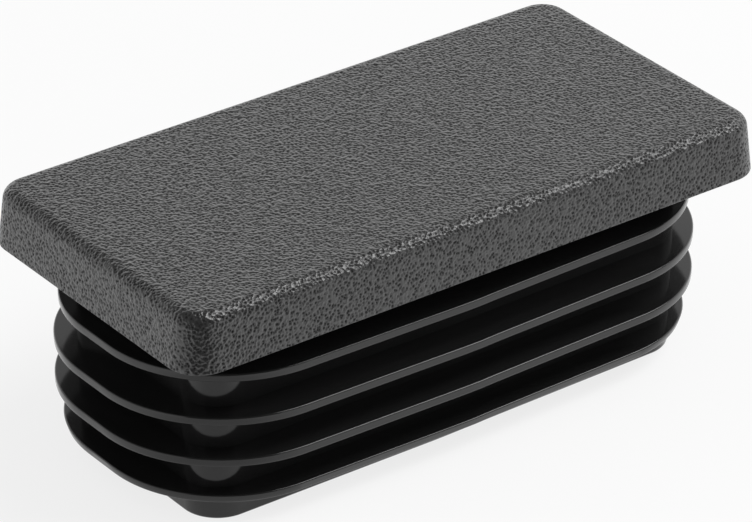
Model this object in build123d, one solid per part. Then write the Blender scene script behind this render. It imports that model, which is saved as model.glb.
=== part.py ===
"""End cap for a rectangular tube: a thick head on a hollow plug with sealing fins, moulded in one piece.

Millimetres, +Z up. The origin is the centre of the plug's open end, and the head is on top.
X runs along the tube's longer side. The mould parts at mid-length, X = 0, and opens along X,
so the plug's long sides run in a little towards both ends. The core also narrows downwards.
"""
from build123d import *
import os
from math import radians, tan

# Outside of the tube that the cap closes. The head is flush with it.
tube_length = 60.0
tube_width = 30.0

# Head
head_height = 5.15
head_draft = 6.5  # degrees: its sides lean in towards the top
head_corner_radius = 3.05  # upright corners, at the underside
head_top_radius = 1.15
crown_thickness = 3.0  # wall between the hollow core and the outside

# Hollow core that carries the fins, measured at the open end
core_end_setback = 4.6  # from the tube's outside, at each end
core_side_setback = 4.25  # from the tube's outside, at each long side, at mid-length
core_corner_radius = 3.4
core_draft = 0.7  # degrees: long sides towards the ends, and the whole core downwards
core_wall = 2.0
core_tail = 2.3  # from the last fin to the open end
core_mouth_radius = 0.3  # outer edge of the open end
hollow_draft = 0.5  # degrees: the hollow narrows upwards
hollow_floor_radius = 0.8

# Fins
fin_count = 4
fin_pitch = 3.9
fin_thickness = 0.8
first_fin_gap = 2.8  # from the head's underside to the first fin
fin_end_setback = 0.35  # from the tube's outside to the rim, at each end
fin_side_setback = 0.6  # the same at each long side, at mid-length
fin_end_straight = 3.8  # what is left straight between a fin's two big end corners
fin_draft = 1.3  # degrees: long sides, from mid-length to the ends
first_fin_end_step = 0.5  # how far the first fin's rim stands back from the middle ones, at each end
first_fin_side_step = 0.3  # the same at each long side
last_fin_step = 0.65  # how far the last fin's rim stands back from the middle ones, all round
last_fin_lead_in = 11.0  # degrees: its rim leans in towards the open end
fin_edge_break = 0.12  # bevel along both edges of a rim

# Derived
fin_stack = (fin_count - 1) * fin_pitch + fin_thickness
plug_depth = first_fin_gap + fin_stack + core_tail  # from the head's underside to the open end
overall_height = plug_depth + head_height
core_half_length = tube_length / 2 - core_end_setback
core_half_width = tube_width / 2 - core_side_setback


def end_half_width(half_length, half_width, draft):
    """Half width that a draft towards the two ends leaves there."""
    return half_width - half_length * tan(radians(draft))


def drafted_plan(half_length, half_width, draft, corner_radius):
    """Outline that is widest at mid-length and has four rounded corners."""
    end_width = end_half_width(half_length, half_width, draft)
    outline = Polyline(
        (0, half_width),
        (half_length, end_width),
        (half_length, -end_width),
        (0, -half_width),
        (-half_length, -end_width),
        (-half_length, end_width),
        close=True,
    )
    plan = make_face(outline)
    corners = plan.vertices().filter_by(lambda corner: abs(corner.X) > half_length / 2)
    return fillet(corners, corner_radius)


def make_head():
    """Flat-topped head with leaning sides, rounded corners and a rounded top edge."""
    underside = Pos(0, 0, plug_depth) * RectangleRounded(tube_length, tube_width, head_corner_radius)
    block = extrude(underside, head_height, taper=head_draft)
    return fillet(block.faces().sort_by(Axis.Z)[-1].edges(), head_top_radius)


def make_core():
    """Solid core; the hollow is cut from it and the head together."""
    open_end = drafted_plan(core_half_length, core_half_width, core_draft, core_corner_radius)
    core = extrude(open_end, plug_depth, taper=-core_draft)
    return fillet(core.faces().sort_by(Axis.Z)[0].edges(), core_mouth_radius)


def make_hollow():
    """Space inside the core, open downwards."""
    mouth = RectangleRounded(
        2 * (core_half_length - core_wall),
        2 * (core_half_width - core_wall),
        core_corner_radius - core_wall,
    )
    hollow = extrude(mouth, overall_height - crown_thickness, taper=hollow_draft)
    return fillet(hollow.faces().sort_by(Axis.Z)[-1].edges(), hollow_floor_radius)


def fin_steps(index):
    """How far a fin's rim stands back from the middle fins' rims, at the ends and at the sides."""
    if index == 0:
        return first_fin_end_step, first_fin_side_step
    if index == fin_count - 1:
        return last_fin_step, last_fin_step
    return 0.0, 0.0


def make_fin(index):
    """One thin plate, counted from the head, with big round corners and a bevelled rim."""
    end_step, side_step = fin_steps(index)
    half_length = tube_length / 2 - fin_end_setback - end_step
    half_width = tube_width / 2 - fin_side_setback - side_step
    corner_radius = end_half_width(half_length, half_width, fin_draft) - fin_end_straight / 2
    lead_in = last_fin_lead_in if index == fin_count - 1 else 0.0
    top = plug_depth - first_fin_gap - index * fin_pitch
    plan = Pos(0, 0, top) * drafted_plan(half_length, half_width, fin_draft, corner_radius)
    plate = extrude(plan, -fin_thickness, taper=lead_in)
    faces = plate.faces().sort_by(Axis.Z)
    return chamfer(faces[0].edges() + faces[-1].edges(), fin_edge_break)


def make_end_cap():
    """The whole moulding as one solid."""
    body = make_head() + make_core()
    for index in range(fin_count):
        body += make_fin(index)
    return body - make_hollow()


os.makedirs("parts", exist_ok=True)
end_cap = make_end_cap()
export_step(end_cap, "parts/end_cap.step")
print("end_cap", round(end_cap.volume, 1), "mm3", end_cap.bounding_box().size)
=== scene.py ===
"""Rectangular tube end cap: the finished look of the moulding, and a plain studio round it."""
import math
from typing import NamedTuple

import bpy
import numpy as np
from mathutils import Matrix, Vector


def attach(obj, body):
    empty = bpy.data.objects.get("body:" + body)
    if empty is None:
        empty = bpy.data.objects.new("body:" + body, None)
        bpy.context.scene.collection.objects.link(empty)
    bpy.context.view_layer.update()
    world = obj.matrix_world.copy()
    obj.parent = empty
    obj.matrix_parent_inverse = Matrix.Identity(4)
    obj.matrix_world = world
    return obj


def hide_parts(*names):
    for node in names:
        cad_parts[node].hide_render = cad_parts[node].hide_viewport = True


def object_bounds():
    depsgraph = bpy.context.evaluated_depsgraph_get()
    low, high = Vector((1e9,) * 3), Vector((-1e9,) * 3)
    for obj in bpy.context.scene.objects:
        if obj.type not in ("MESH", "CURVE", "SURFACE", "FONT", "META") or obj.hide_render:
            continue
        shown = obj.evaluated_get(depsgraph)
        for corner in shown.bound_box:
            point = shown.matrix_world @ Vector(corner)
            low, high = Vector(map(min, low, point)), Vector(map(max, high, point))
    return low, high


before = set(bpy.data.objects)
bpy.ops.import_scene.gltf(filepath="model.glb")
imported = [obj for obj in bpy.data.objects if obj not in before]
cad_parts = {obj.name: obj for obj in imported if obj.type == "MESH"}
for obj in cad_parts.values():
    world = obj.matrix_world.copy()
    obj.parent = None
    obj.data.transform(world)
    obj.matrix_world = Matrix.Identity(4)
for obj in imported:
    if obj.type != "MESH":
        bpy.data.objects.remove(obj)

bl_info = {
    "name": "Tube End Cap",
    "version": (1, 0, 0),
    "blender": (4, 5, 0),
    "location": "3D View > Sidebar > End Cap",
    "description": "Builds a ribbed polyethylene tube end cap and a white studio for it",
    "category": "Add Mesh",
}

MM = 0.001
NODE = "end_cap"
BODY = "root"

cad_low, cad_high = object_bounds()
cad_size = cad_high - cad_low


# ---------------------------------------------------------------- settings


def length(name, description, default):
    """A length in metres, shown in the scene's unit."""
    return bpy.props.FloatProperty(
        name=name, description=description, default=default, unit="LENGTH", precision=6)


def degrees(name, description, default):
    """An angle, given in degrees and kept in radians."""
    return bpy.props.FloatProperty(
        name=name, description=description, default=math.radians(default), unit="ROTATION")


def colour(name, description, hex_code):
    """A display colour, given as an sRGB hex code."""
    return bpy.props.StringProperty(name=name, description=description, default=hex_code)


def brightness(name, description, default):
    """A brightness, where pure white is 1."""
    return bpy.props.FloatProperty(name=name, description=description, default=default, min=0.0)


class EndCapHead(bpy.types.PropertyGroup):
    """Sizes of the head, which stays outside the tube"""
    tube_length: length("Length", "Long side of the head, flush with the tube", cad_size.x)
    tube_width: length("Width", "Short side of the head, flush with the tube", cad_size.y)
    height: length("Height", "Thickness of the head", 5.15 * MM)
    draft: degrees("Draft", "How far the sides lean in towards the top", 6.5)
    corner_radius: length("Corner Radius", "Radius of the upright corners at the underside", 3.05 * MM)
    top_radius: length("Top Edge Radius", "Radius round the top edge", 1.15 * MM)
    lower_edge: length("Lower Edge", "Radius of the crisp lower edge", 0.1 * MM)
    mesh_step: length("Mesh Step", "Distance between rings of vertices on the grained sides", 0.2 * MM)


class EndCapPlug(bpy.types.PropertyGroup):
    """Sizes of the plug's core, its hollow and its parting line"""
    core_end_setback: length(
        "Core End Setback", "From the tube's outside to the open end's mouth, at each end", 4.6 * MM)
    core_side_setback: length(
        "Core Side Setback", "From the tube's outside to the mouth, at each long side", 4.25 * MM)
    core_corner_radius: length("Core Corner Radius", "Upright corners of the core, at the mouth", 3.4 * MM)
    core_draft: degrees(
        "Core Draft", "How far the core narrows downwards, and its sides towards the ends", 0.7)
    core_wall: length("Core Wall", "Wall of the hollow core", 2.0 * MM)
    mouth_radius: length("Mouth Radius", "Outer edge of the open end", 0.3 * MM)
    lip_radius: length("Lip Radius", "Inner edge of the open end", 0.15 * MM)
    crown: length("Crown", "Wall between the hollow and the head's top", 3.0 * MM)
    hollow_draft: degrees("Hollow Draft", "How far the hollow narrows upwards", 0.5)
    floor_radius: length("Floor Radius", "Inside corner at the top of the hollow", 0.8 * MM)
    parting_step: length("Parting Step", "Mismatch of the two mould halves at mid-length", 0.08 * MM)
    parting_width: length("Parting Width", "Length over which the parting step runs out", 0.35 * MM)


class EndCapFins(bpy.types.PropertyGroup):
    """Sizes of the fins, which grip the tube's inside"""
    count: bpy.props.IntProperty(name="Count", description="Number of fins", default=4, min=2)
    pitch: length("Pitch", "From one fin to the next", 3.9 * MM)
    thickness: length("Thickness", "Thickness of a fin", 0.8 * MM)
    first_gap: length("First Gap", "From the head's underside to the first fin", 2.8 * MM)
    end_setback: length("End Setback", "From the tube's outside to the rim, at each end", 0.35 * MM)
    side_setback: length("Side Setback", "From the tube's outside to the rim, at each side", 0.6 * MM)
    end_straight: length("End Straight", "What is straight between the two end corners", 3.8 * MM)
    draft: degrees("Draft", "How far the long sides of a fin run in towards the ends", 1.3)
    first_end_step: length("First End Step", "How far the first rim stands back at each end", 0.5 * MM)
    first_side_step: length(
        "First Side Step", "How far the first rim stands back at each long side", 0.3 * MM)
    last_step: length("Last Step", "How far the last rim stands back", 0.65 * MM)
    lead_in: degrees("Lead-in", "How far the last rim leans in towards the open end", 11.0)
    edge_radius: length("Edge Radius", "Rounding along both edges of a rim", 0.15 * MM)


class EndCapFinish(bpy.types.PropertyGroup):
    """Colours of the plastic, with painted light and shade in its grain, and its grain and haze"""
    plastic: colour("Plastic", "Carbon black polyethylene, moulded glossy", "#1c1c1c")
    # Painted light and shade: the ridge colour is painted lighter, as lit, and the pit colour darker, as
    # shaded; the plastic is the same on both.
    ridge: colour("Ridge", "The same plastic on the grain's ridges, rubbed a little lighter", "#2a2a2a")
    pit: colour("Pit", "The same plastic down in the grain's pits, which get little light", "#171717")
    grain_width: length("Grain Width", "From one pit of the leather grain to the next", 0.3 * MM)
    ripple_width: length("Ripple Width", "Width of the unevenness that runs over the pits", 0.22 * MM)
    grain_relief: length("Grain Relief", "Height that a full step of the grain's pattern has", 0.105 * MM)
    haze_width: length("Haze Width", "Width of the faint patches of haze on the gloss", 2.0 * MM)


class EndCapStudio(bpy.types.PropertyGroup):
    """The paper, the light of the room and the lamp, and the camera"""
    paper: colour("Paper", "White paper floor", "#f4f4f4")
    cockle_width: length("Cockle Width", "Width of the paper's slight waves", 15 * MM)
    cockle_relief: length("Cockle Relief", "Height of the paper's slight waves", 0.01 * MM)
    fill: brightness("Fill", "Light of the white room on matt surfaces", 0.6)
    far_wall: brightness("Far Wall", "Brightness, in reflections, of the room's far side", 1.65)
    near_wall: brightness("Near Wall", "Brightness, in reflections, of the room's near side", 0.85)
    ceiling: bpy.props.FloatProperty(
        name="Ceiling", description="Brightness of the ceiling, as a share of the walls'", default=0.13,
        min=0.0, max=1.0, subtype="FACTOR")
    table: brightness("Table", "Brightness of the lit paper in reflections", 1.14)
    shade_spot: bpy.props.FloatVectorProperty(
        name="Shade Spot", description="Where the paper in front of the cap is shaded by it", size=3,
        default=(-36 * MM, -24 * MM, 0.0), subtype="TRANSLATION")
    shade_reach: length("Shade Reach", "Where that shade ends", 30 * MM)
    key_way: bpy.props.FloatVectorProperty(
        name="Key Direction", description="The way to the softbox from the cap", size=3,
        default=(0.542, -0.30, 0.785), subtype="DIRECTION")
    key_distance: length("Key Distance", "From the head's top to the softbox", 0.9)
    key_size: length("Key Size", "Width and height of the softbox", 0.55)
    key_glow: brightness("Key Glow", "Brightness of the softbox's face", 6.0)
    camera_spot: bpy.props.FloatVectorProperty(
        name="Camera", description="Where the camera stands", default=(-0.2223, -0.2960, 0.2208),
        subtype="TRANSLATION")
    camera_azimuth: degrees("Azimuth", "Direction in which the camera looks, from +Y towards +X", 36.86)
    camera_drop: degrees("Drop", "How far the camera looks down", 29.43)
    camera_roll: degrees("Roll", "How far the camera leans", 0.19)
    view_angle: degrees("View Angle", "Angle that the picture's width takes in", 8.61)


SETTINGS = {
    "cap_head": EndCapHead,
    "cap_plug": EndCapPlug,
    "cap_fins": EndCapFins,
    "cap_finish": EndCapFinish,
    "cap_studio": EndCapStudio,
}


# ---------------------------------------------------------------- skin of the moulding

# Cells round a ring: along a long side, round a corner and along an end. Those of the grained skin
# are about a mesh step wide.
GRAINED_CELLS = (264, 24, 116)
PLUG_CELLS = (20, 28, 4)
FLOOR_GAP_CELLS = (8, 4, 8)

# Cells across a small rounding.
ROUNDING_CELLS = 4

# Each face's material slot.
GRAINED, SMOOTH = 0, 1


def ring(half_length, half_width, radius, cells, shape=None):
    """Points round a rounded rectangle, anticlockwise from the middle of the +X -Y corner.

    shape(x, y) may move each point, as the mould's draft and parting step do."""
    side, corner, end = cells
    straight_x = half_length - radius
    straight_y = half_width - radius
    if min(radius, straight_x, straight_y) < 0:
        raise ValueError("a ring's corners do not fit inside it")

    def arc(sign_x, sign_y, start, stop, count):
        angles = [start + (stop - start) * i / count for i in range(count)]
        return [
            (sign_x * straight_x + radius * math.cos(angle), sign_y * straight_y + radius * math.sin(angle))
            for angle in angles
        ]

    def line(start, stop, count):
        return [
            (start[0] + (stop[0] - start[0]) * i / count, start[1] + (stop[1] - start[1]) * i / count)
            for i in range(count)
        ]

    quarter = math.pi / 2
    points = arc(1, -1, -quarter / 2, 0, corner // 2)
    points += line((half_length, -straight_y), (half_length, straight_y), end)
    points += arc(1, 1, 0, quarter, corner)
    points += line((straight_x, half_width), (-straight_x, half_width), side)
    points += arc(-1, 1, quarter, 2 * quarter, corner)
    points += line((-half_length, straight_y), (-half_length, -straight_y), end)
    points += arc(-1, -1, 2 * quarter, 3 * quarter, corner)
    points += line((-straight_x, -half_width), (straight_x, -half_width), side)
    points += arc(1, -1, -quarter, -quarter / 2, corner // 2)
    return [shape(x, y) for x, y in points] if shape else points


def rounding():
    """Sines and cosines over a quarter turn, from the start of a rounding to its end."""
    angles = [math.pi / 2 * i / ROUNDING_CELLS for i in range(ROUNDING_CELLS + 1)]
    return [(math.sin(angle), math.cos(angle)) for angle in angles]


class Skin:
    """A surface gathered ring by ring."""

    def __init__(self):
        self.points = []
        self.faces = []
        self.finishes = []

    def add(self, points, level):
        """Adds a ring at a height and returns its vertex numbers."""
        first = len(self.points)
        self.points += [(x, y, level) for x, y in points]
        return list(range(first, len(self.points)))

    def face(self, corners, finish):
        """Adds one face with its finish."""
        self.faces.append(corners)
        self.finishes.append(finish)

    def band(self, upper, lower, finish):
        """Quads between two rings with as many points each."""
        count = len(upper)
        for i in range(count):
            j = (i + 1) % count
            self.face((upper[i], lower[i], lower[j], upper[j]), finish)

    def stitch(self, outer, inner, finish):
        """Triangles on a level face between an outer ring and an inner one with fewer points."""
        i = j = 0
        while i < len(outer) or j < len(inner):
            here, across = outer[i % len(outer)], inner[j % len(inner)]
            if j >= len(inner) or (i < len(outer) and (i + 1) * len(inner) <= (j + 1) * len(outer)):
                self.face((here, across, outer[(i + 1) % len(outer)]), finish)
                i += 1
            else:
                self.face((here, across, inner[(j + 1) % len(inner)]), finish)
                j += 1

    def fill(self, edge, cells, finish, upwards):
        """A grid of quads inside a ring, with its corners at the middle of the ring's corners.

        Each inner point is blended from the edge points of its row and its column."""
        side, corner, end = cells
        across, along = side + corner, end + corner
        right = [edge[j] for j in range(along + 1)]
        top = [edge[along + across - i] for i in range(across + 1)]
        left = [edge[2 * along + across - j] for j in range(along + 1)]
        bottom = [edge[(2 * along + across + i) % len(edge)] for i in range(across + 1)]
        level = self.points[edge[0]][2]

        def place(index):
            return np.array(self.points[index])

        low_left, low_right = place(left[0]), place(right[0])
        high_left, high_right = place(left[-1]), place(right[-1])
        grid = [bottom]
        for j in range(1, along):
            up = j / along
            row = [left[j]]
            for i in range(1, across):
                over = i / across
                spot = (1 - up) * place(bottom[i]) + up * place(top[i])
                spot += (1 - over) * place(left[j]) + over * place(right[j])
                spot -= (1 - up) * ((1 - over) * low_left + over * low_right)
                spot -= up * ((1 - over) * high_left + over * high_right)
                row.append(len(self.points))
                self.points.append((spot[0], spot[1], level))
            grid.append(row + [right[j]])
        grid.append(top)
        for low, high in zip(grid, grid[1:]):
            for i in range(across):
                quad = (low[i], low[i + 1], high[i + 1], high[i])
                self.face(quad if upwards else quad[::-1], finish)


def add_head(skin, head):
    """The grained top, rounded edge and leaning sides; returns the last ring, on the underside."""
    underside = cad_high.z - head.height
    slope = math.tan(head.draft)

    def outline(inset, level):
        points = ring(head.tube_length / 2 - inset, head.tube_width / 2 - inset,
                      head.corner_radius - inset, GRAINED_CELLS)
        return skin.add(points, level)

    # The top rounding turns from level to the lean of the sides.
    centre_level = cad_high.z - head.top_radius
    rise = centre_level - underside
    centre_inset = (head.top_radius + rise * math.sin(head.draft)) / math.cos(head.draft)
    arc_cells = round(head.top_radius * (math.pi / 2 - head.draft) / head.mesh_step)
    rings = []
    for i in range(arc_cells + 1):
        turn = math.pi / 2 + (head.draft - math.pi / 2) * i / arc_cells
        inset = centre_inset - head.top_radius * math.cos(turn)
        rings.append(outline(inset, centre_level + head.top_radius * math.sin(turn)))

    arc_foot = centre_level + head.top_radius * math.sin(head.draft)
    side_foot = underside + head.lower_edge
    side_cells = round((arc_foot - side_foot) / head.mesh_step)
    for i in range(1, side_cells + 1):
        level = arc_foot + (side_foot - arc_foot) * i / side_cells
        rings.append(outline((level - underside) * slope, level))

    foot_inset = (side_foot - underside) * slope
    for sine, cosine in rounding()[1:]:
        inset = foot_inset + head.lower_edge * (1 - cosine)
        rings.append(outline(inset, side_foot - head.lower_edge * sine))
    # A narrow level ring keeps the rounding's shading off the underside's long triangles.
    rings.append(outline(foot_inset + head.lower_edge + head.mesh_step, underside))

    skin.fill(rings[0], GRAINED_CELLS, GRAINED, upwards=True)
    for upper, lower in zip(rings, rings[1:]):
        skin.band(upper, lower, GRAINED)
    return rings[-1]


class Plug:
    """Rings of the core, the fins and the hollow, gathered on a skin from the head's underside inwards."""

    def __init__(self, skin, settings):
        self.skin = skin
        self.head = settings.cap_head
        self.sizes = settings.cap_plug
        self.fins = settings.cap_fins
        self.underside = cad_high.z - self.head.height
        # Half length, half width and corner radius of the core at the mouth.
        self.core = (
            self.head.tube_length / 2 - self.sizes.core_end_setback,
            self.head.tube_width / 2 - self.sizes.core_side_setback,
            self.sizes.core_corner_radius,
        )
        self.rings = []

    def mould_halves(self, slope, end_half):
        """The mould parts at mid-length: its halves run in towards the ends, and one sits a little aside.

        end_half is half the straight part of an end, which only shrinks."""
        def move(x, y):
            share = min(max(0.5 + x / self.sizes.parting_width, 0.0), 1.0)
            aside = self.sizes.parting_step * share * share * (3 - 2 * share)
            reach = min(max(y / end_half, -1.0), 1.0)
            return x, y - slope * abs(x) * reach + aside
        return move

    def add_ring(self, half_length, half_width, radius, level, shape=None):
        """Adds a rounded rectangle at a height, as the next ring."""
        points = ring(half_length, half_width, radius, PLUG_CELLS, shape)
        self.rings.append(self.skin.add(points, level))

    def add_core_ring(self, out, level):
        """A ring of the core, which grows upwards from the mouth with its draft."""
        slope = math.tan(self.sizes.core_draft)
        grown = [size + out + (level - cad_low.z) * slope for size in self.core]
        _, half_width, radius = self.core
        self.add_ring(*grown, level, self.mould_halves(slope, half_width - radius))

    def add_rim_ring(self, end_step, side_step, inset, level):
        """A ring of a rim, which stands back by its fin's own steps and is set in at its edges."""
        slope = math.tan(self.fins.draft)
        half_length = self.head.tube_length / 2 - self.fins.end_setback - end_step
        half_width = self.head.tube_width / 2 - self.fins.side_setback - side_step
        radius = half_width - half_length * slope - self.fins.end_straight / 2
        self.add_ring(half_length - inset, half_width - inset, radius - inset, level,
                      self.mould_halves(slope, half_width - radius))

    def add_hollow_ring(self, inset, level):
        """A ring of the hollow, one wall inside the core's mouth."""
        self.add_ring(*(size - self.sizes.core_wall - inset for size in self.core), level)

    def add_fin(self, index):
        """One fin, from its upper root round its rim to its lower root."""
        fins = self.fins
        top = self.underside - fins.first_gap - index * fins.pitch
        bottom = top - fins.thickness
        if bottom < cad_low.z + self.sizes.mouth_radius:
            raise ValueError(f"fin {index + 1} reaches past the open end")
        end_step = side_step = lean = 0.0
        if index == 0:
            end_step, side_step = fins.first_end_step, fins.first_side_step
        elif index == fins.count - 1:
            end_step = side_step = fins.last_step
            lean = math.tan(fins.lead_in) * fins.thickness
        edge = fins.edge_radius
        self.add_core_ring(0.0, top)
        for sine, cosine in rounding():
            self.add_rim_ring(end_step, side_step, edge * (1 - sine), top - edge * (1 - cosine))
        for sine, cosine in rounding():
            self.add_rim_ring(end_step, side_step, lean + edge * (1 - cosine), bottom + edge * (1 - sine))
        self.add_core_ring(0.0, bottom)

    def add_mouth(self):
        """The open end's ring, rounded outside and inside."""
        mouth, lip = self.sizes.mouth_radius, self.sizes.lip_radius
        for sine, cosine in rounding():
            self.add_core_ring(-mouth * (1 - cosine), cad_low.z + mouth * (1 - sine))
        for sine, cosine in rounding():
            self.add_hollow_ring(-lip * (1 - sine), cad_low.z + lip * (1 - cosine))

    def add_ceiling(self):
        """The hollow's top rounding, where the hollow is narrowest."""
        ceiling = cad_high.z - self.sizes.crown
        corner = self.sizes.floor_radius
        narrowing = math.tan(self.sizes.hollow_draft)
        for sine, cosine in rounding():
            level = ceiling - corner * (1 - sine)
            self.add_hollow_ring((level - cad_low.z) * narrowing + corner * (1 - cosine), level)


def add_plug(skin, settings, lower_edge):
    """The underside of the head, the core with its fins, and the hollow."""
    plug = Plug(skin, settings)
    plug.add_core_ring(0.0, plug.underside)
    skin.stitch(lower_edge, plug.rings[0], SMOOTH)
    for index in range(settings.cap_fins.count):
        plug.add_fin(index)
    plug.add_mouth()
    plug.add_ceiling()
    for upper, lower in zip(plug.rings, plug.rings[1:]):
        skin.band(upper, lower, SMOOTH)
    skin.fill(plug.rings[-1], PLUG_CELLS, SMOOTH, upwards=False)


# ---------------------------------------------------------------- materials

# Typical of polyethylene.
POLYETHYLENE_IOR = 1.51

# How much the pits' round hollows run into each other, and how much of the ripple is added to them.
PIT_SOFTNESS = 0.3
RIPPLE_SHARE = 0.45
# Heights of the pattern that count as the foot of a pit and the crest of a ridge.
PIT_HEIGHT, RIDGE_HEIGHT = 0.34, 0.76
# Pits are rough and hidden from the light, and ridges are rubbed smoother. The strength of the gloss is
# painted: turned down in the pits as painted shade, and up past the plain level on the ridges as painted
# sheen.
PIT_ROUGHNESS, RIDGE_ROUGHNESS = 0.55, 0.28
PIT_SHINE, RIDGE_SHINE = 0.1, 0.8

# Roughness of the gloss where it is clear and where it is hazed.
CLEAR_ROUGHNESS, HAZED_ROUGHNESS = 0.1, 0.15

PAPER_ROUGHNESS = 0.9
# Share of what the paper shows, straight or in a reflection, that takes no shadow.
PAPER_GLOW = 0.8
# In the cap's own shade: the level that is left, and the part of its reach that is as dark as that.
SHADE_LEVEL, SHADE_CORE = 0.62, 0.2

# Black card still gives back a little light.
CARD_GLOW = 0.05


def linear(hex_code):
    """Linear RGBA of an sRGB hex colour, by the sRGB standard's curve."""
    values = [int(hex_code[i:i + 2], 16) / 255 for i in (1, 3, 5)]
    curve = [v / 12.92 if v <= 0.04045 else ((v + 0.055) / 1.055) ** 2.4 for v in values]
    return (*curve, 1.0)


def add_node(tree, kind, settings=None, inputs=None):
    """Adds a node, sets its own settings, and sets or links its inputs."""
    node = tree.nodes.new(kind)
    for name, value in (settings or {}).items():
        setattr(node, name, value)
    for name, value in (inputs or {}).items():
        socket = node.inputs[name]
        if isinstance(value, bpy.types.NodeSocket):
            tree.links.new(value, socket)
        else:
            socket.default_value = value
    return node


def new_material(name):
    """A material with no nodes yet, and its node tree."""
    material = bpy.data.materials.new(name)
    material.use_nodes = True
    material.node_tree.nodes.clear()
    return material, material.node_tree


def grained_polyethylene(finish):
    """Low-density polyethylene moulded against an etched leather grain.

    It is dull, with small ridges that catch the room's light on one side and pits between them; painted
    shade darkens the pits' colour and gloss, and painted light lightens the ridges'."""
    material, tree = new_material("LDPE_moulded_leather_grain")
    place = add_node(tree, "ShaderNodeTexCoord").outputs["Object"]
    pits = add_node(tree, "ShaderNodeTexVoronoi", {"feature": "SMOOTH_F1"},
                    {"Vector": place, "Scale": 1 / finish.grain_width, "Smoothness": PIT_SOFTNESS})
    ripple = add_node(tree, "ShaderNodeTexNoise", {},
                      {"Vector": place, "Scale": 1 / finish.ripple_width, "Detail": 1.0})
    height = add_node(
        tree, "ShaderNodeMath", {"operation": "MULTIPLY_ADD"},
        {0: ripple.outputs["Fac"], 1: RIPPLE_SHARE, 2: pits.outputs["Distance"]}).outputs["Value"]
    ridge = add_node(
        tree, "ShaderNodeMapRange", {},
        {"Value": height, "From Min": PIT_HEIGHT, "From Max": RIDGE_HEIGHT}).outputs["Result"]
    # Painted light and shade: the colour runs from the darkened pits to the lightened ridges.
    painted_shade_tint = add_node(tree, "ShaderNodeMix", {"data_type": "RGBA"},
                    {"Factor": ridge, "A": linear(finish.pit), "B": linear(finish.ridge)})
    rough = add_node(tree, "ShaderNodeMapRange", {},
                     {"Value": ridge, "To Min": PIT_ROUGHNESS, "To Max": RIDGE_ROUGHNESS})
    # Painted shade and sheen: the strength of the gloss falls in the pits and rises on the ridges.
    painted_shine = add_node(tree, "ShaderNodeMapRange", {},
                     {"Value": ridge, "To Min": PIT_SHINE, "To Max": RIDGE_SHINE})
    relief = add_node(tree, "ShaderNodeBump", {}, {"Height": height, "Distance": finish.grain_relief})
    shader = add_node(
        tree, "ShaderNodeBsdfPrincipled", {},
        {"Base Color": painted_shade_tint.outputs["Result"], "Roughness": rough.outputs["Result"],
         "IOR": POLYETHYLENE_IOR, "Specular IOR Level": painted_shine.outputs["Result"],
         "Normal": relief.outputs["Normal"]})
    add_node(tree, "ShaderNodeOutputMaterial", {}, {"Surface": shader.outputs["BSDF"]})
    return material


def polished_polyethylene(finish):
    """The same polyethylene against polished steel: a gloss that mirrors the room, hazed in places."""
    material, tree = new_material("LDPE_moulded_gloss")
    place = add_node(tree, "ShaderNodeTexCoord").outputs["Object"]
    haze = add_node(tree, "ShaderNodeTexNoise", {},
                    {"Vector": place, "Scale": 1 / finish.haze_width, "Detail": 3.0})
    rough = add_node(
        tree, "ShaderNodeMapRange", {},
        {"Value": haze.outputs["Fac"], "To Min": CLEAR_ROUGHNESS, "To Max": HAZED_ROUGHNESS})
    shader = add_node(
        tree, "ShaderNodeBsdfPrincipled", {},
        {"Base Color": linear(finish.plastic), "Roughness": rough.outputs["Result"],
         "IOR": POLYETHYLENE_IOR})
    add_node(tree, "ShaderNodeOutputMaterial", {}, {"Surface": shader.outputs["BSDF"]})
    return material


def paper_glow(tree, studio):
    """What the lit paper shows: plain white, and in reflections the table's level and the cap's shade."""
    seen = add_node(tree, "ShaderNodeLightPath")
    place = add_node(tree, "ShaderNodeNewGeometry").outputs["Position"]
    away = add_node(tree, "ShaderNodeVectorMath", {"operation": "DISTANCE"},
                    {0: place, 1: studio.shade_spot})
    shade = add_node(
        tree, "ShaderNodeMapRange", {"interpolation_type": "SMOOTHSTEP"},
        {"Value": away.outputs["Value"],
         "From Min": SHADE_CORE * studio.shade_reach, "From Max": studio.shade_reach,
         "To Min": SHADE_LEVEL * studio.table, "To Max": studio.table})
    level = add_node(tree, "ShaderNodeMix", {"data_type": "FLOAT"},
                     {"Factor": seen.outputs["Is Glossy Ray"], "A": 1.0, "B": shade.outputs["Result"]})
    glow = add_node(tree, "ShaderNodeEmission", {}, {"Strength": level.outputs["Result"]})
    direct = add_node(tree, "ShaderNodeMath", {"operation": "MAXIMUM"},
                      {0: seen.outputs["Is Camera Ray"], 1: seen.outputs["Is Glossy Ray"]})
    share = add_node(tree, "ShaderNodeMath", {"operation": "MULTIPLY"},
                     {0: direct.outputs["Value"], 1: PAPER_GLOW})
    return glow.outputs["Emission"], share.outputs["Value"]


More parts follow.
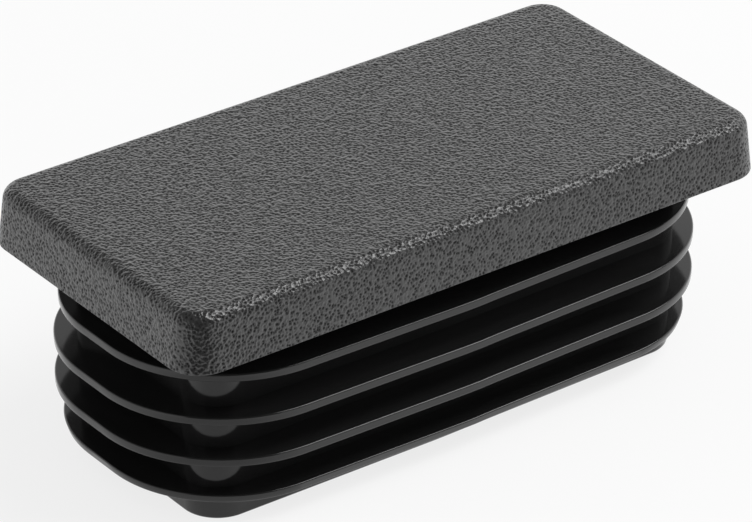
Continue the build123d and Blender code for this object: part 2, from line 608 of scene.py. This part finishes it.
def white_paper(studio):
    """Matt white paper, a little waved: near white, with the cap's soft shadow.

    It has no back, so that the cap can be seen from below."""
    material, tree = new_material("White_paper_matt")
    place = add_node(tree, "ShaderNodeTexCoord").outputs["Object"]
    cockle = add_node(tree, "ShaderNodeTexNoise", {},
                      {"Vector": place, "Scale": 1 / studio.cockle_width, "Detail": 2.0})
    relief = add_node(tree, "ShaderNodeBump", {},
                      {"Height": cockle.outputs["Fac"], "Distance": studio.cockle_relief})
    paper = add_node(
        tree, "ShaderNodeBsdfPrincipled", {},
        {"Base Color": linear(studio.paper), "Roughness": PAPER_ROUGHNESS,
         "Normal": relief.outputs["Normal"]})
    glow, share = paper_glow(tree, studio)
    front = add_node(tree, "ShaderNodeMixShader", {}, {"Fac": share, 1: paper.outputs["BSDF"], 2: glow})
    back = add_node(tree, "ShaderNodeNewGeometry").outputs["Backfacing"]
    clear = add_node(tree, "ShaderNodeBsdfTransparent")
    sheet = add_node(tree, "ShaderNodeMixShader", {},
                     {"Fac": back, 1: front.outputs["Shader"], 2: clear.outputs["BSDF"]})
    add_node(tree, "ShaderNodeOutputMaterial", {}, {"Surface": sheet.outputs["Shader"]})
    return material


def black_card():
    """Black card, which only takes light out of the reflections it stands in."""
    material, tree = new_material("Black_card")
    shader = add_node(tree, "ShaderNodeEmission", {}, {"Strength": CARD_GLOW})
    add_node(tree, "ShaderNodeOutputMaterial", {}, {"Surface": shader.outputs["Emission"]})
    return material


# ---------------------------------------------------------------- moulding

# Edges that turn by more than this stay crisp, as at the fins' roots.
CRISP_TURN = math.radians(50)
# How much more large faces count than small ones, which keeps level faces flat.
LARGE_FACE_WEIGHT = 80


def finish_mesh(obj):
    """Smooth shading that keeps level faces flat and the fins' roots crisp."""
    for polygon in obj.data.polygons:
        polygon.use_smooth = True
    obj.data.set_sharp_from_angle(angle=CRISP_TURN)
    modifier = obj.modifiers.new("Weighted Normal", "WEIGHTED_NORMAL")
    modifier.weight = LARGE_FACE_WEIGHT
    modifier.keep_sharp = True


class EndCapMoulding(bpy.types.Operator):
    """Builds the end cap's single moulding and puts it in place of the plain solid"""
    bl_idname = "end_cap.moulding"
    bl_label = "Build Moulding"

    def execute(self, context):
        scene = context.scene
        skin = Skin()
        lower_edge = add_head(skin, scene.cap_head)
        add_plug(skin, scene, lower_edge)
        mesh = bpy.data.meshes.new("end_cap_moulding")
        mesh.from_pydata(skin.points, [], skin.faces)
        mesh.materials.append(grained_polyethylene(scene.cap_finish))
        mesh.materials.append(polished_polyethylene(scene.cap_finish))
        mesh.polygons.foreach_set("material_index", skin.finishes)
        if mesh.validate():
            raise RuntimeError("the moulding's mesh has faults")
        moulding = bpy.data.objects.new("end_cap_moulding", mesh)
        scene.collection.objects.link(moulding)
        finish_mesh(moulding)
        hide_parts(NODE)
        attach(moulding, BODY)
        return {"FINISHED"}


# ---------------------------------------------------------------- studio

# From the cap to the floor's rim, in metres, and the corners of that rim.
FLOOR_REACH = 3.0
FLOOR_CORNERS = 96
# Where the floor's rim starts, in turns: near where the gap's ring does.
FLOOR_START = -0.1
# From the hollow's wall in to the edge of the gap.
FLOOR_GAP_MARGIN = 0.5 * MM

# Flat strips that make up a curved card.
CARD_CELLS = 24


class Card(NamedTuple):
    """A black card curved round the cap.

    The way to its middle, from +Y towards +X, and half the angle that it takes in are in degrees; its
    distance and the heights of its lower and upper edge are in metres."""
    azimuth: float
    half_angle: float
    distance: float
    low: float
    high: float


CARDS = {
    "black_card_near": Card(221, 26, 60 * MM, 0.5 * MM, 40 * MM),
    "black_card_left": Card(-37, 20, 300 * MM, 70 * MM, 110 * MM),
    "black_card_right": Card(146, 30, 300 * MM, 57 * MM, 150 * MM),
}

# Sines of the elevations between which the room's walls go over into its ceiling.
WALL_TOP, CEILING_EDGE = 0.34, 0.64
# Cosines of the angle to the camera's heading between which the near side goes over into the far side.
NEAR_SIDE, FAR_SIDE = -0.4, 0.3

# Nearest and farthest that the camera sees, in metres.
CLIP_START, CLIP_END = 0.01, 20.0


def lay_floor(scene):
    """A disc with a gap under the cap's open mouth, so that light reaches its inside from below."""
    head, plug = scene.cap_head, scene.cap_plug
    inside = plug.core_wall + FLOOR_GAP_MARGIN
    turns = [2 * math.pi * (i / FLOOR_CORNERS + FLOOR_START) for i in range(FLOOR_CORNERS)]
    skin = Skin()
    rim = skin.add([(FLOOR_REACH * math.cos(turn), FLOOR_REACH * math.sin(turn)) for turn in turns],
                   cad_low.z)
    gap = skin.add(ring(head.tube_length / 2 - plug.core_end_setback - inside,
                        head.tube_width / 2 - plug.core_side_setback - inside,
                        plug.core_corner_radius - inside, FLOOR_GAP_CELLS), cad_low.z)
    skin.stitch(rim, gap, finish=0)
    mesh = bpy.data.meshes.new("paper_floor")
    mesh.from_pydata(skin.points, [], [face[::-1] for face in skin.faces])
    mesh.materials.append(white_paper(scene.cap_studio))
    floor = bpy.data.objects.new("paper_floor", mesh)
    scene.collection.objects.link(floor)


def stand_card(scene, name, card):
    """One black card, which shows only in reflections."""
    middle, half = math.radians(card.azimuth), math.radians(card.half_angle)
    angles = [middle + half * (2 * i / CARD_CELLS - 1) for i in range(CARD_CELLS + 1)]
    points = [
        (card.distance * math.sin(angle), card.distance * math.cos(angle), level)
        for angle in angles for level in (card.low, card.high)
    ]
    faces = [(2 * i, 2 * i + 2, 2 * i + 3, 2 * i + 1) for i in range(CARD_CELLS)]
    mesh = bpy.data.meshes.new(name)
    mesh.from_pydata(points, [], faces)
    mesh.materials.append(black_card())
    stand = bpy.data.objects.new(name, mesh)
    stand.visible_camera = False
    stand.visible_diffuse = False
    stand.visible_shadow = False
    stand.visible_transmission = False
    scene.collection.objects.link(stand)


def hang_softbox(scene, studio):
    """The main light: a square softbox that faces the head's top."""
    aim = Vector((0, 0, cad_high.z))
    way = Vector(studio.key_way).normalized()
    data = bpy.data.lights.new("key_softbox", "AREA")
    data.shape = "SQUARE"
    data.size = studio.key_size
    # The face of an area lamp is as bright as its power over pi times its area.
    data.energy = math.pi * studio.key_size ** 2 * studio.key_glow
    lamp = bpy.data.objects.new("key_softbox", data)
    lamp.location = aim + way * studio.key_distance
    lamp.rotation_euler = (-way).to_track_quat("-Z", "Y").to_euler()
    lamp.visible_camera = False
    scene.collection.objects.link(lamp)


def light_room(scene, studio):
    """A white room: white to the camera, even on matt surfaces, and in reflections walls and a ceiling."""
    world = bpy.data.worlds.new("white_room")
    scene.world = world
    world.use_nodes = True
    tree = world.node_tree
    tree.nodes.clear()
    seen = add_node(tree, "ShaderNodeLightPath")
    way = add_node(tree, "ShaderNodeTexCoord").outputs["Generated"]
    rise = add_node(tree, "ShaderNodeSeparateXYZ", {}, {"Vector": way}).outputs["Z"]
    share = add_node(
        tree, "ShaderNodeMapRange", {},
        {"Value": rise, "From Min": WALL_TOP, "From Max": CEILING_EDGE, "To Min": 1.0,
         "To Max": studio.ceiling})
    azimuth = studio.camera_azimuth
    depth = add_node(tree, "ShaderNodeVectorMath", {"operation": "DOT_PRODUCT"},
                     {0: way, 1: (math.sin(azimuth), math.cos(azimuth), 0.0)})
    wall = add_node(
        tree, "ShaderNodeMapRange", {"interpolation_type": "SMOOTHSTEP"},
        {"Value": depth.outputs["Value"], "From Min": NEAR_SIDE, "From Max": FAR_SIDE,
         "To Min": studio.near_wall, "To Max": studio.far_wall})
    room = add_node(tree, "ShaderNodeMath", {"operation": "MULTIPLY"},
                    {0: share.outputs["Result"], 1: wall.outputs["Result"]})
    unseen = add_node(
        tree, "ShaderNodeMix", {"data_type": "FLOAT"},
        {"Factor": seen.outputs["Is Glossy Ray"], "A": studio.fill, "B": room.outputs["Value"]})
    level = add_node(tree, "ShaderNodeMix", {"data_type": "FLOAT"},
                     {"Factor": seen.outputs["Is Camera Ray"], "A": unseen.outputs["Result"], "B": 1.0})
    backdrop = add_node(tree, "ShaderNodeBackground", {}, {"Strength": level.outputs["Result"]})
    add_node(tree, "ShaderNodeOutputWorld", {}, {"Surface": backdrop.outputs["Background"]})


def place_camera(scene, studio):
    """A long lens that looks down on the cap."""
    data = bpy.data.cameras.new("studio_camera")
    data.angle = studio.view_angle
    data.clip_start, data.clip_end = CLIP_START, CLIP_END
    camera = bpy.data.objects.new("studio_camera", data)
    azimuth, drop = studio.camera_azimuth, studio.camera_drop
    look = Vector((math.sin(azimuth) * math.cos(drop), math.cos(azimuth) * math.cos(drop), -math.sin(drop)))
    turn = look.to_track_quat("-Z", "Y").to_matrix() @ Matrix.Rotation(studio.camera_roll, 3, "Z")
    camera.location = studio.camera_spot
    camera.rotation_euler = turn.to_euler()
    scene.collection.objects.link(camera)
    bpy.context.scene.camera = camera


class EndCapStage(bpy.types.Operator):
    """Lays the white floor, sets the cards, the lamp and the room's light, and places the camera"""
    bl_idname = "end_cap.stage"
    bl_label = "Set Stage"

    def execute(self, context):
        scene = context.scene
        studio = scene.cap_studio
        scene.view_settings.view_transform = "Standard"
        lay_floor(scene)
        for name, card in CARDS.items():
            stand_card(scene, name, card)
        hang_softbox(scene, studio)
        light_room(scene, studio)
        place_camera(scene, studio)
        return {"FINISHED"}


# ---------------------------------------------------------------- panel and start


class EndCapPanel(bpy.types.Panel):
    """Lists the end cap's sizes and its two building steps"""
    bl_idname = "VIEW3D_PT_end_cap"
    bl_label = "Tube End Cap"
    bl_space_type = "VIEW_3D"
    bl_region_type = "UI"
    bl_category = "End Cap"

    def draw(self, context):
        layout = self.layout
        for group in SETTINGS:
            box = layout.box()
            settings = getattr(context.scene, group)
            for name in settings.__annotations__:
                box.prop(settings, name)
        layout.operator(EndCapMoulding.bl_idname)
        layout.operator(EndCapStage.bl_idname)


CLASSES = (*SETTINGS.values(), EndCapMoulding, EndCapStage, EndCapPanel)


def register():
    """Registers the classes and hangs the settings on the scene."""
    for item in CLASSES:
        bpy.utils.register_class(item)
    for name, group in SETTINGS.items():
        setattr(bpy.types.Scene, name, bpy.props.PointerProperty(type=group))


def unregister():
    """Takes the settings off the scene and unregisters the classes."""
    for name in SETTINGS:
        delattr(bpy.types.Scene, name)
    for item in reversed(CLASSES):
        bpy.utils.unregister_class(item)


def main():
    """Builds the moulding and the stage."""
    register()
    bpy.ops.end_cap.moulding()
    bpy.ops.end_cap.stage()


if __name__ == "__main__":
    main()
